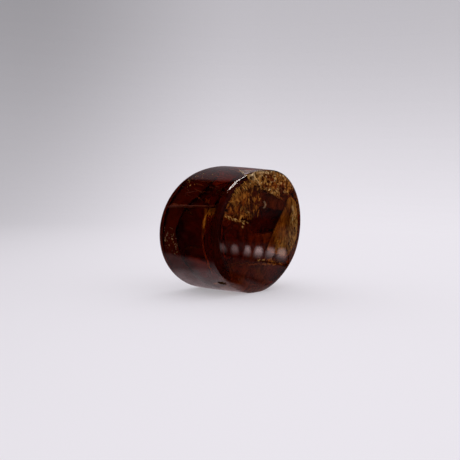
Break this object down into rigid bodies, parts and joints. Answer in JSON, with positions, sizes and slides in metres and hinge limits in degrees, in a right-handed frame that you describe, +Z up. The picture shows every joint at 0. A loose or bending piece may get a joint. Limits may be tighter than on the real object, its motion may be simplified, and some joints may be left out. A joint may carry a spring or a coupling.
{
  "type": "tourmaline crystal specimen",
  "caption": "Short, stubby prism of clear dark brown tourmaline with a rounded triangular section, worn smooth, lying on its side.",
  "frame": {"origin": "under the middle of the crystal, on the surface that it rests on", "axes": "+X along the crystal's c axis, towards the end with the second facet; +Y across its widest way; +Z up"},
  "size_m": [0.0112, 0.0216, 0.018],
  "materials": {
    "polished_tourmaline": "clear dark brown crystal, naturally smooth and glossy, golden where it is thin"
  },
  "bodies": {
    "root": {"crystal": "polished_tourmaline"}
  },
  "joints": []
}
